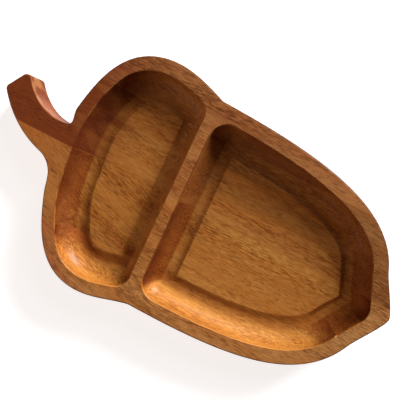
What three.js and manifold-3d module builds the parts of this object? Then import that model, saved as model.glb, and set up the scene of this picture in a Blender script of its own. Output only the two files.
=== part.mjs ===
// Acorn-shaped appetizer dish: two coved pockets routed into a blank of edge-glued beech staves.
// Millimetres, +Z up. X runs along the grain from the stem to the tip, and y across the staves.
// The underside lies on z = 0, and the origin is on it, half way between the two side notches.

import * as THREE from 'three';
import { mergeVertices } from 'three/addons/utils/BufferGeometryUtils.js';
import Module from 'manifold-3d';

const wasm = await Module();
wasm.setup();

const { degToRad, lerp } = THREE.MathUtils;
const pivot = new THREE.Vector2(0, 0);

// Blank and staves
const thickness = 20;
const staveWidth = 51.7;
const glueFilm = 0.25;
const middleGlueLineY = 1.5;

// Acorn layout: the divider stands across the grain, and the cap and the nut lean away from each other on it
const dividerTurn = degToRad(2);
const axisLean = degToRad(3.7);
const notchHalfSpan = 76.2;

// Nut outline, along its own axis from the origin
const nutLength = 165.3;
const tipShoulderX = 149;
const tipShoulderHalfWidth = 29.4;
const tipShoulderHeading = degToRad(66);
const nutFlankHandle = 72;
const nutShoulderHandle = 45;
const tipFlankHandle = 7.2;
const tipNoseRadius = 2.8;

// Cap outline, along its own axis from its widest station
const capWidestX = -36.7;
const capWidestY = 0.9;
const capHalfWidth = 84.8;
const crownHeight = 51.3;
const crownKneeX = 49.5;
const crownKneeHalfWidth = 31;
const crownKneeHeading = degToRad(104);
const capShoulderHandle = 33.4;
const capKneeHandle = 25.7;
const crownKneeHandle = 5;
const crownTopHandle = 19;
const flareUpper = { heading: degToRad(153), notchHandle: 12.9, widestHandle: 14.4 };
const flareLower = { heading: degToRad(176.5), notchHandle: 10.3, widestHandle: 10.5 };

// Stem, measured from the top of the crown in the cap's axes
const stemEndX = -42.8;
const stemEndY = 35.3;
const stemEndWidth = 19.7;
const stemEndFace = degToRad(53.3);
const stemEndHeading = degToRad(121.9);
const stemEndCornerRadius = 3.6;
const stemInnerRootX = -1.5;
const stemInnerRootY = 18.8;
const stemInnerRootHeading = degToRad(181.3);
const stemOuterRootX = -11.1;
const stemOuterRootY = -5.6;
const stemOuterRootHeading = degToRad(158.6);
const stemCrownX = -0.5;
const stemCrownY = -18.1;
const stemCrownHeading = degToRad(-75.8);
const stemInnerHandle = 13.8;
const stemOuterHandle = 16.7;
const stemNotchHandle = 6.6;
const stemKneeHandle = 5.1;
const stemFilletHandle = 5.4;

// Rounded edges
const outerEdgeRadius = 1.2;
const pocketEdgeRadius = 0.6;

// Pockets: a ball-nosed cutter runs round each one and leaves a gutter beside the flat floor
const capRim = 9.5;
const capPocketShift = new THREE.Vector2(-0.8, -0.5);
const nutRim = 10.2;
const nutPocketShift = new THREE.Vector2(0, -0.4);
const tipCornerPastAxis = 3.5;
const dividerX = -2.95;
const dividerWidth = 7.6;
const floorDepth = 13;
const gutterDepth = 1.4;
const coveRadius = 13.2;

// Width of the cove beside the divider, as a share of the width that the cutter gives it elsewhere
const smallDividerCove = 0.75;
const largeDividerCove = 1;

// Facets
const facetLength = 7;
const facetTurn = degToRad(8);
const sharpTurn = degToRad(25);
const dividerEdgeTurn = degToRad(1);
const probes = 60;
const foldTolerance = 0.01;
const coveSteps = 9;
const edgeSteps = 3;
const overcut = 3;

/** A place and a turn in the plane of the dish, with points and steps measured from it. */
class Placement {
  constructor(origin, turn) {
    this.origin = origin;
    this.turn = turn;
  }

  point(x, y) {
    return new THREE.Vector2(x, y).rotateAround(pivot, this.turn).add(this.origin);
  }

  step(heading, length = 1) {
    return new THREE.Vector2(length, 0).rotateAround(pivot, this.turn + heading);
  }
}

const divider = new Placement(pivot, dividerTurn);
const nut = new Placement(pivot, dividerTurn - axisLean);
const cap = new Placement(new THREE.Vector2(capWidestX, capWidestY), dividerTurn + axisLean);
const crown = new Placement(cap.point(-crownHeight, 0), cap.turn);

/** Cubic curve between two points, shaped by the steps that lead out of each end. */
function cubic(start, startStep, endStep, end) {
  return new THREE.CubicBezierCurve(start, start.clone().add(startStep), end.clone().add(endStep), end);
}

/** Length of the last step of a cubic curve that gives its end this radius, for the reach that is left. */
function endHandle(reach, radius) {
  return Math.sqrt(2 / 3 * reach * radius);
}

/** Arc that rounds a corner, for the heading into it and the turn made there, both in the dish's axes. */
function cornerArc(corner, heading, turn, radius) {
  const along = new THREE.Vector2(1, 0).rotateAround(pivot, heading);
  const across = new THREE.Vector2(-along.y, along.x);
  const centre = corner.clone().addScaledVector(across, radius);
  centre.addScaledVector(along, -radius * Math.tan(turn / 2));
  const startAngle = heading - Math.PI / 2;
  return new THREE.EllipseCurve(centre.x, centre.y, radius, radius, startAngle, startAngle + turn);
}

/** The same cubic curve, run the other way. */
function reversed(curve) {
  return new THREE.CubicBezierCurve(curve.v3, curve.v2, curve.v1, curve.v0);
}

/** One side of the nut, from its notch to the nose of the tip; side is 1 above the axis and -1 below. */
function nutSide(side) {
  const notch = divider.point(0, side * notchHalfSpan);
  const shoulder = nut.point(tipShoulderX, side * tipShoulderHalfWidth);
  const intoTip = -side * tipShoulderHeading;
  const noseReach = nutLength - tipShoulderX - tipFlankHandle * Math.cos(tipShoulderHeading);
  const flank = cubic(
    notch,
    nut.step(0, nutFlankHandle),
    nut.step(intoTip, -nutShoulderHandle),
    shoulder,
  );
  const tip = cubic(
    shoulder,
    nut.step(intoTip, tipFlankHandle),
    nut.step(side * Math.PI / 2, endHandle(noseReach, tipNoseRadius)),
    nut.point(nutLength, 0),
  );
  return { flank, tip };
}

/** One side of the cap, from its notch past the widest station to the knee of the crown. */
function capSide(side, flareShape) {
  const widest = cap.point(0, side * capHalfWidth);
  const flare = cubic(
    divider.point(0, side * notchHalfSpan),
    cap.step(side * flareShape.heading, flareShape.notchHandle),
    cap.step(0, flareShape.widestHandle),
    widest,
  );
  const shoulder = cubic(
    widest,
    cap.step(Math.PI, capShoulderHandle),
    cap.step(-side * crownKneeHeading, -capKneeHandle),
    cap.point(-crownKneeX, side * crownKneeHalfWidth),
  );
  return { flare, shoulder };
}

/** Top of the cap between its knees, which the stem covers but the small pocket follows. */
function crownCurves() {
  const top = cap.point(-crownHeight, 0);
  const upper = cubic(
    cap.point(-crownKneeX, crownKneeHalfWidth),
    cap.step(-crownKneeHeading, crownKneeHandle),
    cap.step(Math.PI / 2, crownTopHandle),
    top,
  );
  const lower = cubic(
    top,
    cap.step(-Math.PI / 2, crownTopHandle),
    cap.step(crownKneeHeading, crownKneeHandle),
    cap.point(-crownKneeX, -crownKneeHalfWidth),
  );
  return [upper, lower];
}

/** Outline of the stem, from the upper knee of the crown round its cut end to the lower knee. */
function stemCurves() {
  const innerRoot = crown.point(stemInnerRootX, stemInnerRootY);
  const outerRoot = crown.point(stemOuterRootX, stemOuterRootY);
  const crownFoot = crown.point(stemCrownX, stemCrownY);
  const endMiddle = crown.point(stemEndX, stemEndY);
  const innerCorner = endMiddle.clone().add(crown.step(stemEndFace, stemEndWidth / 2));
  const outerCorner = endMiddle.clone().add(crown.step(stemEndFace, -stemEndWidth / 2));
  const innerTurn = Math.PI + stemEndFace - stemEndHeading;
  const innerRound = cornerArc(innerCorner, crown.turn + stemEndHeading, innerTurn, stemEndCornerRadius);
  const outerRound = cornerArc(
    outerCorner,
    crown.turn + stemEndHeading + innerTurn,
    Math.PI - innerTurn,
    stemEndCornerRadius,
  );
  const upperKnee = cap.point(-crownKneeX, crownKneeHalfWidth);
  const lowerKnee = cap.point(-crownKneeX, -crownKneeHalfWidth);
  return [
    cubic(
      upperKnee,
      cap.step(-crownKneeHeading, stemKneeHandle),
      crown.step(stemInnerRootHeading, -stemNotchHandle),
      innerRoot,
    ),
    cubic(
      innerRoot,
      crown.step(stemInnerRootHeading, stemInnerHandle),
      crown.step(stemEndHeading, -stemInnerHandle),
      innerRound.getPoint(0),
    ),
    innerRound,
    new THREE.LineCurve(innerRound.getPoint(1), outerRound.getPoint(0)),
    outerRound,
    cubic(
      outerRound.getPoint(1),
      crown.step(stemEndHeading, -stemOuterHandle),
      crown.step(stemOuterRootHeading, stemOuterHandle),
      outerRoot,
    ),
    cubic(
      outerRoot,
      crown.step(stemOuterRootHeading, -stemFilletHandle),
      crown.step(stemCrownHeading, -stemFilletHandle),
      crownFoot,
    ),
    cubic(
      crownFoot,
      crown.step(stemCrownHeading, stemFilletHandle),
      cap.step(crownKneeHeading, stemFilletHandle),
      lowerKnee,
    ),
  ];
}

const upperNut = nutSide(1);
const lowerNut = nutSide(-1);
const upperCap = capSide(1, flareUpper);
const lowerCap = capSide(-1, flareLower);

/** Stations that share out a curve's length and turning evenly; a straight one needs only its start. */
function stations(curve) {
  if (curve.isLineCurve) return [0];
  const probeLength = curve.getLength() / probes;
  const facetsUpTo = [0];
  for (let i = 0; i < probes; i += 1) {
    const turn = curve.getTangentAt(i / probes).angleTo(curve.getTangentAt((i + 1) / probes));
    facetsUpTo.push(facetsUpTo[i] + Math.max(probeLength / facetLength, turn / facetTurn));
  }
  const needed = facetsUpTo[probes];
  const count = Math.ceil(needed);
  return Array.from({ length: count }, (_, k) => {
    const wanted = k * needed / count;
    const probe = facetsUpTo.findIndex((facets) => facets > wanted) - 1;
    const share = (wanted - facetsUpTo[probe]) / (facetsUpTo[probe + 1] - facetsUpTo[probe]);
    return (probe + share) / probes;
  });
}

/** Points along a run of curves, each moved inward by the same distance; the run's last point is left out. */
function insetRun(curves, distance) {
  return curves.flatMap((curve) => stations(curve).map((station) => {
    const tangent = curve.getTangentAt(station);
    const inward = new THREE.Vector2(-tangent.y, tangent.x);
    return curve.getPointAt(station).addScaledVector(inward, distance);
  }));
}

/** The same points with no folds: none is nearer to the curves than the distance it was moved inward. */
function unfoldedRun(curves, distance) {
  const edge = insetRun(curves, 0);
  const nearest = distance - foldTolerance;
  const isClear = (point) => edge.every((onEdge) => point.distanceTo(onEdge) > nearest);
  return insetRun(curves, distance).filter(isClear);
}

/** Whole outline of the dish, anticlockwise from the lower notch. */
function dishOutline() {
  return new THREE.Shape(insetRun([
    lowerNut.flank,
    lowerNut.tip,
    reversed(upperNut.tip),
    reversed(upperNut.flank),
    upperCap.flare,
    upperCap.shoulder,
    ...stemCurves(),
    reversed(lowerCap.shoulder),
    reversed(lowerCap.flare),
  ], 0));
}

/** Outward unit normal of one edge of an anticlockwise outline. */
function edgeNormal(from, to) {
  return new THREE.Vector2(to.y - from.y, from.x - to.x).normalize();
}

/** The part of a closed run of points on the side of a line that its normal points to. */
function clipped(points, onLine, normal) {
  const kept = [];
  points.forEach((point, i) => {
    const next = points[(i + 1) % points.length];
    const here = point.clone().sub(onLine).dot(normal);
    const there = next.clone().sub(onLine).dot(normal);
    if (here >= 0) kept.push(point);
    if (here * there < 0) kept.push(point.clone().lerp(next, here / (here - there)));
  });
  return kept;
}

const flankAngle = Math.acos(1 - gutterDepth / coveRadius);
const flankRun = coveRadius * Math.sin(flankAngle);
const cutterReach = coveRadius + pocketEdgeRadius;
const floorInset = flankRun + cutterReach;

/** Floor of the small pocket: the cap's outline, inset, and closed along the divider. */
function smallFloor() {
  const [upperCrown, lowerCrown] = crownCurves();
  const run = unfoldedRun([
    upperCap.flare,
    upperCap.shoulder,
    upperCrown,
    lowerCrown,
    reversed(lowerCap.shoulder),
    reversed(lowerCap.flare),
  ], capRim + floorInset);
  for (const point of run) point.add(capPocketShift);
  const dividerSide = divider.point(dividerX - dividerWidth / 2 - smallDividerCove * floorInset, 0);
  return clipped(run, dividerSide, divider.step(Math.PI));
}

/** Floor of the large pocket: the nut's flanks, inset, meeting in a corner behind the tip. */
function largeFloor() {
  const inset = nutRim + floorInset;
  const lowerRun = unfoldedRun([lowerNut.flank], inset);
  const upperRun = unfoldedRun([reversed(upperNut.flank)], inset);
  const acrossNut = nut.step(Math.PI / 2);
  const downTip = nut.step(-tipShoulderHeading);
  const [firstUpper] = upperRun;
  const toAxis = -firstUpper.dot(acrossNut) / downTip.dot(acrossNut);
  const tipCorner = firstUpper.clone().addScaledVector(downTip, toAxis + tipCornerPastAxis);
  const run = [...lowerRun, tipCorner, ...upperRun];
  for (const point of run) point.add(nutPocketShift);
  const dividerSide = divider.point(dividerX + dividerWidth / 2 + largeDividerCove * floorInset, 0);
  return clipped(run, dividerSide, divider.step(0));
}

/** Section of the cutter: gutter flank, cove, short wall and eased edge, as offset from centre and height. */
function cutterProfile() {
  const coveCentreZ = thickness - floorDepth - gutterDepth + coveRadius;
  const coveStart = -Math.PI / 2 - flankAngle;
  const cove = new THREE.EllipseCurve(0, coveCentreZ, coveRadius, coveRadius, coveStart, 0);
  const easedEdge = new THREE.EllipseCurve(
    cutterReach,
    thickness - pocketEdgeRadius,
    pocketEdgeRadius,
    pocketEdgeRadius,
    Math.PI,
    Math.PI / 2,
    true,
  );
  return [
    ...cove.getPoints(coveSteps),
    ...easedEdge.getPoints(edgeSteps),
    new THREE.Vector2(cutterReach, thickness + overcut),
  ];
}

/** Step out of a floor's corner to where its two edges meet when each is moved out by its own width. */
function mitreStep(before, widthBefore, after, widthAfter) {
  const skew = before.dot(after);
  const step = before.clone().multiplyScalar(widthBefore - widthAfter * skew);
  return step.addScaledVector(after, widthAfter - widthBefore * skew).divideScalar(1 - skew * skew);
}

/** The cutter's centre beside each point of a floor and the way out; a sharp corner opens into a fan. */
function sweepColumns(floor, dividerCove) {
  const columns = [];
  const acrossDivider = divider.step(0);
  const besideDivider = Math.cos(dividerEdgeTurn);
  const coveWidth = (normal) => (Math.abs(normal.dot(acrossDivider)) > besideDivider ? dividerCove : 1);
  floor.forEach((point, i) => {
    const before = edgeNormal(floor.at(i - 1), point);
    const after = edgeNormal(point, floor[(i + 1) % floor.length]);
    const turn = Math.atan2(before.cross(after), before.dot(after));
    if (turn < sharpTurn) {
      const mitre = before.clone().add(after).divideScalar(1 + before.dot(after));
      columns.push({ centre: point.clone().addScaledVector(mitre, flankRun), inward: mitre, outward: mitre });
      return;
    }
    const widthBefore = coveWidth(before);
    const widthAfter = coveWidth(after);
    const mitre = mitreStep(before, widthBefore, after, widthAfter);
    const centre = point.clone().addScaledVector(mitre, flankRun);
    const fan = Math.ceil(turn / facetTurn);
    for (let k = 0; k <= fan; k += 1) {
      const outward = before.clone().rotateAround(pivot, turn * k / fan);
      outward.multiplyScalar(lerp(widthBefore, widthAfter, k / fan));
      columns.push({ centre, inward: mitre, outward });
    }
  });
  return columns;
}

/** Closed body made by carrying the cutter's section round a floor, with a flat lid at each of its ends. */
function sweptAround(floor, profile, dividerCove) {
  const columns = sweepColumns(floor, dividerCove);
  const rings = profile.map((station) => columns.map(({ centre, inward, outward }) => (
    centre.clone().addScaledVector(station.x < 0 ? inward : outward, station.x)
  )));
  const positions = rings.flatMap((ring, r) => ring.flatMap((point) => [point.x, point.y, profile[r].y]));
  const count = columns.length;
  const index = [];
  for (let r = 0; r + 1 < rings.length; r += 1) {
    for (let c = 0; c < count; c += 1) {
      const next = (c + 1) % count;
      const low = r * count;
      const high = low + count;
      index.push(low + c, low + next, high + next, low + c, high + next, high + c);
    }
  }
  const top = (rings.length - 1) * count;
  const single = [...columns.keys()].filter((c) => columns[c].centre !== columns.at(c - 1).centre);
  const bottomLid = THREE.ShapeUtils.triangulateShape(single.map((c) => rings[0][c]), []);
  const topLid = THREE.ShapeUtils.triangulateShape(rings.at(-1), []);
  for (const [a, b, c] of bottomLid) index.push(single[a], single[c], single[b]);
  for (const [a, b, c] of topLid) index.push(top + a, top + b, top + c);
  const geometry = new THREE.BufferGeometry();
  geometry.setAttribute('position', new THREE.Float32BufferAttribute(positions, 3));
  geometry.setIndex(index);
  return geometry;
}

/** Solid for cutting and joining, from a closed geometry; triangles that a fan pinches shut are left out. */
function solidFrom(geometry) {
  const bare = geometry.clone();
  bare.deleteAttribute('normal');
  bare.deleteAttribute('uv');
  const merged = mergeVertices(bare);
  const corners = merged.index.array;
  const kept = [];
  for (let i = 0; i < corners.length; i += 3) {
    const [a, b, c] = [corners[i], corners[i + 1], corners[i + 2]];
    if (a !== b && b !== c && c !== a) kept.push(a, b, c);
  }
  return new wasm.Manifold(new wasm.Mesh({
    numProp: 3,
    vertProperties: merged.attributes.position.array,
    triVerts: new Uint32Array(kept),
  }));
}

/** Geometry for drawing, from a cut solid. */
function geometryFrom(solid) {
  const mesh = solid.getMesh();
  const geometry = new THREE.BufferGeometry();
  geometry.setAttribute('position', new THREE.BufferAttribute(mesh.vertProperties, 3));
  geometry.setIndex(new THREE.BufferAttribute(mesh.triVerts, 1));
  geometry.computeVertexNormals();
  return geometry;
}

/** The dish in one piece, before it is parted along its glue lines. */
function routedDish() {
  const blank = new THREE.ExtrudeGeometry(dishOutline(), {
    depth: thickness - 2 * outerEdgeRadius,
    bevelThickness: outerEdgeRadius,
    bevelSize: outerEdgeRadius,
    bevelOffset: -outerEdgeRadius,
    bevelSegments: edgeSteps,
  });
  blank.translate(0, 0, outerEdgeRadius);
  const profile = cutterProfile();
  const smallPocket = solidFrom(sweptAround(smallFloor(), profile, smallDividerCove));
  const largePocket = solidFrom(sweptAround(largeFloor(), profile, largeDividerCove));
  return solidFrom(blank).subtract(smallPocket).subtract(largePocket);
}

/** The part of the dish between two planes across the staves. */
function strip(dish, lowY, highY) {
  const { min, max } = dish.boundingBox();
  const slab = new THREE.BoxGeometry(
    max[0] - min[0] + 2 * overcut,
    highY - lowY,
    thickness + 2 * overcut,
  );
  slab.translate((min[0] + max[0]) / 2, (lowY + highY) / 2, thickness / 2);
  return geometryFrom(dish.intersect(solidFrom(slab)));
}

const dish = routedDish();
const dishBox = dish.boundingBox();
const lowerGlueLineY = middleGlueLineY - staveWidth;
const upperGlueLineY = middleGlueLineY + staveWidth;
const halfFilm = glueFilm / 2;

const strips = [
  ['lower_edge_stave', dishBox.min[1] - overcut, lowerGlueLineY - halfFilm, 0x9c5f2b],
  ['lower_glue_line', lowerGlueLineY - halfFilm, lowerGlueLineY + halfFilm, 0x5b3216],
  ['lower_middle_stave', lowerGlueLineY + halfFilm, middleGlueLineY - halfFilm, 0xb0783c],
  ['middle_glue_line', middleGlueLineY - halfFilm, middleGlueLineY + halfFilm, 0x5b3216],
  ['upper_middle_stave', middleGlueLineY + halfFilm, upperGlueLineY - halfFilm, 0xa9683a],
  ['upper_glue_line', upperGlueLineY - halfFilm, upperGlueLineY + halfFilm, 0x5b3216],
  ['upper_edge_stave', upperGlueLineY + halfFilm, dishBox.max[1] + overcut, 0xa06a35],
];

const group = new THREE.Group();
for (const [name, lowY, highY, color] of strips) {
  const material = new THREE.MeshStandardMaterial({ color, roughness: 0.55, metalness: 0 });
  const mesh = new THREE.Mesh(strip(dish, lowY, highY), material);
  mesh.name = name;
  group.add(mesh);
}

export default group;
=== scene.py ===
"""Acorn appetizer dish in oiled beech: staves and glue lines, a pale table, soft light, a camera above."""

from __future__ import annotations

import logging
import math
from dataclasses import dataclass
from enum import Enum, IntEnum
from functools import reduce

import bmesh
import bpy
from mathutils import Matrix, Vector
from mathutils.geometry import interpolate_bezier

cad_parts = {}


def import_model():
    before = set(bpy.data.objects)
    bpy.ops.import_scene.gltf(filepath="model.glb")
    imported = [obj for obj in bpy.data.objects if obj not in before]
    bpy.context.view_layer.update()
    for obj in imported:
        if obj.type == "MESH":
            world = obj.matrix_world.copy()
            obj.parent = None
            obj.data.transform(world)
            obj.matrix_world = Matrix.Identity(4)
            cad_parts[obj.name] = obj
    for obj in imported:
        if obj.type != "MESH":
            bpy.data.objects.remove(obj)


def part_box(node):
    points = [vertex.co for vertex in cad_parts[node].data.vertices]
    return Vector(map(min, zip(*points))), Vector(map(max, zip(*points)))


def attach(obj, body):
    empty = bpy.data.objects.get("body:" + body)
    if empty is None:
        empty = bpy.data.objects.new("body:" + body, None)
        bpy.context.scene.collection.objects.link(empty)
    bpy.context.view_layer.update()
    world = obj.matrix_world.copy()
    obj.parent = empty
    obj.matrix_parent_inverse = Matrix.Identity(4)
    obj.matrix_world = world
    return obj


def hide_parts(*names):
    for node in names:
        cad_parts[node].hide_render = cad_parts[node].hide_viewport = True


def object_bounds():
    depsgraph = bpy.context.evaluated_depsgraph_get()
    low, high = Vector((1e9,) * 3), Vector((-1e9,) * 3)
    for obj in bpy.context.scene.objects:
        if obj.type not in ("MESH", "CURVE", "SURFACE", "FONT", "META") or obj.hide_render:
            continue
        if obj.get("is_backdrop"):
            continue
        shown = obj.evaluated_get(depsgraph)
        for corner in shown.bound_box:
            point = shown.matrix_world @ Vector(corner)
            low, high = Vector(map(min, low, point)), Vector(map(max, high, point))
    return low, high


LOG = logging.getLogger("acorn_dish")
MM = 0.001
QUARTER = math.pi / 2.0
WHITE = (1.0, 1.0, 1.0, 1.0)

# The curve from screen colours to linear ones.
FULL_BYTE = 255.0
SRGB_TOE = 0.055
SRGB_POWER = 2.4

# Share of the clear distance within which a point counts as on the line that clips a loop.
ON_LINE = 0.01

# Distance in metres within which a point counts as on the plane that parts two pieces.
CUT_TOLERANCE = 1e-7

Color = tuple[float, float, float, float]
Triple = tuple[float, float, float]
Feed = bpy.types.NodeSocket
Feeds = bpy.types.bpy_prop_collection
Tree = bpy.types.NodeTree
Body = bmesh.types.BMesh
Points = list[Vector]
Section = list[tuple[float, float]]


def srgb(red: int, green: int, blue: int) -> Color:
    """Turn a screen colour into the linear colour that shaders take.

    Args:
        red: Red, from 0 to 255.
        green: Green, from 0 to 255.
        blue: Blue, from 0 to 255.

    Returns:
        The linear colour with full alpha.
    """
    toed = [(value / FULL_BYTE + SRGB_TOE) / (1.0 + SRGB_TOE) for value in (red, green, blue)]
    return (*(value**SRGB_POWER for value in toed), 1.0)


@dataclass(frozen=True)
class Column:
    """A stand for a section beside a loop, with the way out of the loop and the way into it."""

    foot: Vector
    outward: Vector
    inward: Vector

    def at(self, offset: float) -> Vector:
        """Return the plan point at an offset, which counts as positive outwards."""
        return self.foot + (self.inward if offset < 0.0 else self.outward) * offset


def joined(*runs: Points) -> Points:
    """Chain runs of points end to end, each without its last point."""
    return [point for run in runs for point in run[:-1]]


def moved_left(run: Points, distance: float) -> Points:
    """Move each point of an open run to the left of its way.

    Args:
        run: Points along a smooth line.
        distance: How far the points move.

    Returns:
        The moved points.
    """
    moved = []
    last = len(run) - 1
    for i, point in enumerate(run):
        along = (run[min(i + 1, last)] - run[max(i - 1, 0)]).normalized()
        moved.append(point + Vector((-along.y, along.x)) * distance)
    return moved


def clipped(loop: Points, on_line: Vector, normal: Vector, clear: float) -> Points:
    """Cut a closed loop along a line and keep the side that the normal points to.

    Args:
        loop: Corner points in order.
        on_line: A point on the line.
        normal: The way to the kept side.
        clear: Least distance that is left between a new corner and the next point.

    Returns:
        The corner points of the kept part.
    """
    mesh = bmesh.new()
    mesh.faces.new([mesh.verts.new((*point, 0.0)) for point in loop])
    bmesh.ops.bisect_plane(
        mesh,
        geom=[*mesh.verts, *mesh.edges, *mesh.faces],
        plane_co=(*on_line, 0.0),
        plane_no=(*normal, 0.0),
        clear_inner=True,
    )
    mesh.faces.ensure_lookup_table()
    kept = [vertex.co.xy.copy() for vertex in mesh.faces[0].verts]
    mesh.free()
    corners = [point for point in kept if abs((point - on_line).dot(normal)) < clear * ON_LINE]
    crowded = [point for point in kept if any(0.0 < (point - corner).length < clear for corner in corners)]
    return [point for point in kept if point not in crowded]


def arc(centre: tuple[float, float], radius: float, start: float, end: float, steps: int) -> Section:
    """Sample an arc of a section.

    Args:
        centre: Offset and height of the arc's centre.
        radius: Radius of the arc.
        start: First angle in radians.
        end: Last angle in radians.
        steps: Number of steps between the two.

    Returns:
        Offsets and heights along the arc, ends included.
    """
    angles = [start + (end - start) * i / steps for i in range(steps + 1)]
    return [(centre[0] + radius * math.cos(a), centre[1] + radius * math.sin(a)) for a in angles]


class Flank(IntEnum):
    """The two long sides of the dish, with the sign that Y has there."""

    UPPER = 1
    LOWER = -1


class Pocket(Enum):
    """The two pockets of the dish."""

    CAP = "small"
    NUT = "large"


@dataclass(frozen=True)
class Knot:
    """A point of the outline and the outline's heading there, in the axes of the nut, cap or crown."""

    x: float
    y: float
    heading: float


@dataclass(frozen=True)
class Placement:
    """A place and a turn in the plane of the dish, with points and steps measured from it."""

    origin: Vector
    turn: float

    def point(self, x: float, y: float) -> Vector:
        """Return the plan point that lies at x and y in these axes."""
        return self.origin + Matrix.Rotation(self.turn, 2) @ Vector((x, y))

    def step(self, heading: float, length: float = 1.0) -> Vector:
        """Return a step of a length along a heading in these axes."""
        return Matrix.Rotation(self.turn + heading, 2) @ Vector((length, 0.0))

    def at(self, knot: Knot, side: Flank = Flank.UPPER) -> Placement:
        """Return the placement of a knot, mirrored in these axes for the lower side."""
        return Placement(self.point(knot.x, side * knot.y), self.turn + side * knot.heading)


@dataclass(frozen=True)
class Flare:
    """How the cap swells from a notch to its widest station, with lengths in millimetres."""

    heading: float
    notch_handle: float
    widest_handle: float


@dataclass(frozen=True)
class Half:
    """Runs of points on one side of the outline, each as it leads away from the divider."""

    nut_flank: Points
    nut_tip: Points
    cap_flare: Points
    cap_shoulder: Points
    crown: Points


@dataclass(frozen=True)
class AcornPlan:
    """Outline of the dish seen from above, in millimetres, with X along the grain from stem to tip."""

    divider_turn: float = math.radians(2.0)
    axis_lean: float = math.radians(3.7)
    notch_half_span: float = 76.2
    nut_flank_handle: float = 72.0
    nut_shoulder_handle: float = 45.0
    tip_shoulder: Knot = Knot(149.0, 29.4, math.radians(-66.0))
    tip_flank_handle: float = 7.2
    tip_nose: Knot = Knot(165.3, 0.0, -QUARTER)
    tip_nose_radius: float = 2.8
    cap_x: float = -36.7
    cap_y: float = 0.9
    cap_widest: Knot = Knot(0.0, 84.8, math.pi)
    cap_shoulder_handle: float = 33.4
    cap_knee_handle: float = 25.7
    crown_height: float = 51.3
    crown_knee: Knot = Knot(-49.5, 31.0, math.radians(-104.0))
    crown_knee_handle: float = 5.0
    crown_top: Knot = Knot(0.0, 0.0, -QUARTER)
    crown_top_handle: float = 19.0
    flare_upper: Flare = Flare(math.radians(153.0), 12.9, 14.4)
    flare_lower: Flare = Flare(math.radians(176.5), 10.3, 10.5)
    stem_knee_handle: float = 5.1
    stem_notch_handle: float = 6.6
    stem_inner_root: Knot = Knot(-1.5, 18.8, math.radians(181.3))
    stem_inner_handle: float = 13.8
    stem_end: Knot = Knot(-42.8, 35.3, math.radians(121.9))
    stem_end_width: float = 19.7
    stem_end_face: float = math.radians(53.3)
    stem_end_corner_radius: float = 3.6
    stem_outer_handle: float = 16.7
    stem_outer_root: Knot = Knot(-11.1, -5.6, math.radians(338.6))
    stem_fillet_handle: float = 5.4
    stem_crown: Knot = Knot(-0.5, -18.1, math.radians(-75.8))
    spacing: float = 1.6
    fewest_steps: int = 10

    @property
    def divider(self) -> Placement:
        """Axes of the divider, which stands nearly across the grain."""
        return Placement(Vector((0.0, 0.0)), self.divider_turn)

    @property
    def nut(self) -> Placement:
        """Axes of the nut."""
        return Placement(Vector((0.0, 0.0)), self.divider_turn - self.axis_lean)

    @property
    def cap(self) -> Placement:
        """Axes of the cap, at its widest station."""
        return Placement(Vector((self.cap_x, self.cap_y)), self.divider_turn + self.axis_lean)

    @property
    def crown(self) -> Placement:
        """Axes of the stem, at the top of the crown."""
        return Placement(self.cap.point(-self.crown_height, 0.0), self.cap.turn)

    @property
    def nose_handle(self) -> float:
        """Work out the handle that gives the nose its radius.

        Returns:
            Length of the handle in millimetres.
        """
        flank_reach = self.tip_flank_handle * math.cos(self.tip_shoulder.heading)
        reach = self.tip_nose.x - self.tip_shoulder.x - flank_reach
        return math.sqrt(2.0 / 3.0 * reach * self.tip_nose_radius)

    def run(self, start: Placement, leave: float, arrive: float, end: Placement) -> Points:
        """Sample a cubic curve between two points.

        Args:
            start: First point, with its heading.
            leave: Length of the handle at the first point.
            arrive: Length of the handle at the last point, below nothing where its heading leads back.
            end: Last point, with its heading.

        Returns:
            Points along the curve, ends included.
        """
        handles = (start.origin, start.point(leave, 0.0), end.point(-arrive, 0.0), end.origin)
        rough = interpolate_bezier(*handles, self.fewest_steps)
        length = sum((b - a).length for a, b in zip(rough, rough[1:]))
        steps = max(self.fewest_steps, math.ceil(length / self.spacing))
        return [Vector(point).to_2d() for point in interpolate_bezier(*handles, steps + 1)]

    def corner(self, corner: Vector, heading: float, turn: float) -> Points:
        """Round a corner of the stem's end.

        Args:
            corner: The sharp corner.
            heading: Heading into the corner, in the dish's axes.
            turn: Turn to the left that is made at the corner.

        Returns:
            Points along the arc, ends included.
        """
        radius = self.stem_end_corner_radius
        centre = Placement(corner, heading).point(-radius * math.tan(turn / 2.0), radius)
        around = Placement(centre, heading - QUARTER)
        steps = self.fewest_steps
        return [centre + around.step(turn * i / steps, radius) for i in range(steps + 1)]

    def half(self, side: Flank) -> Half:
        """Sample one side of the outline, and the half of the crown that the stem covers.

        Args:
            side: Which side.

        Returns:
            The runs of that side.
        """
        flare = self.flare_upper if side is Flank.UPPER else self.flare_lower
        notch = self.divider.point(0.0, side * self.notch_half_span)
        into_nut = Placement(notch, self.nut.turn)
        into_cap = Placement(notch, self.cap.turn + side * flare.heading)
        shoulder = self.nut.at(self.tip_shoulder, side)
        nose = self.nut.at(self.tip_nose, side)
        widest = self.cap.at(self.cap_widest, side)
        knee = self.cap.at(self.crown_knee, side)
        crown_top = self.crown.at(self.crown_top, side)
        return Half(
            nut_flank=self.run(into_nut, self.nut_flank_handle, self.nut_shoulder_handle, shoulder),
            nut_tip=self.run(shoulder, self.tip_flank_handle, self.nose_handle, nose),
            cap_flare=self.run(into_cap, flare.notch_handle, flare.widest_handle, widest),
            cap_shoulder=self.run(widest, self.cap_shoulder_handle, self.cap_knee_handle, knee),
            crown=self.run(knee, self.crown_knee_handle, self.crown_top_handle, crown_top),
        )

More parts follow.
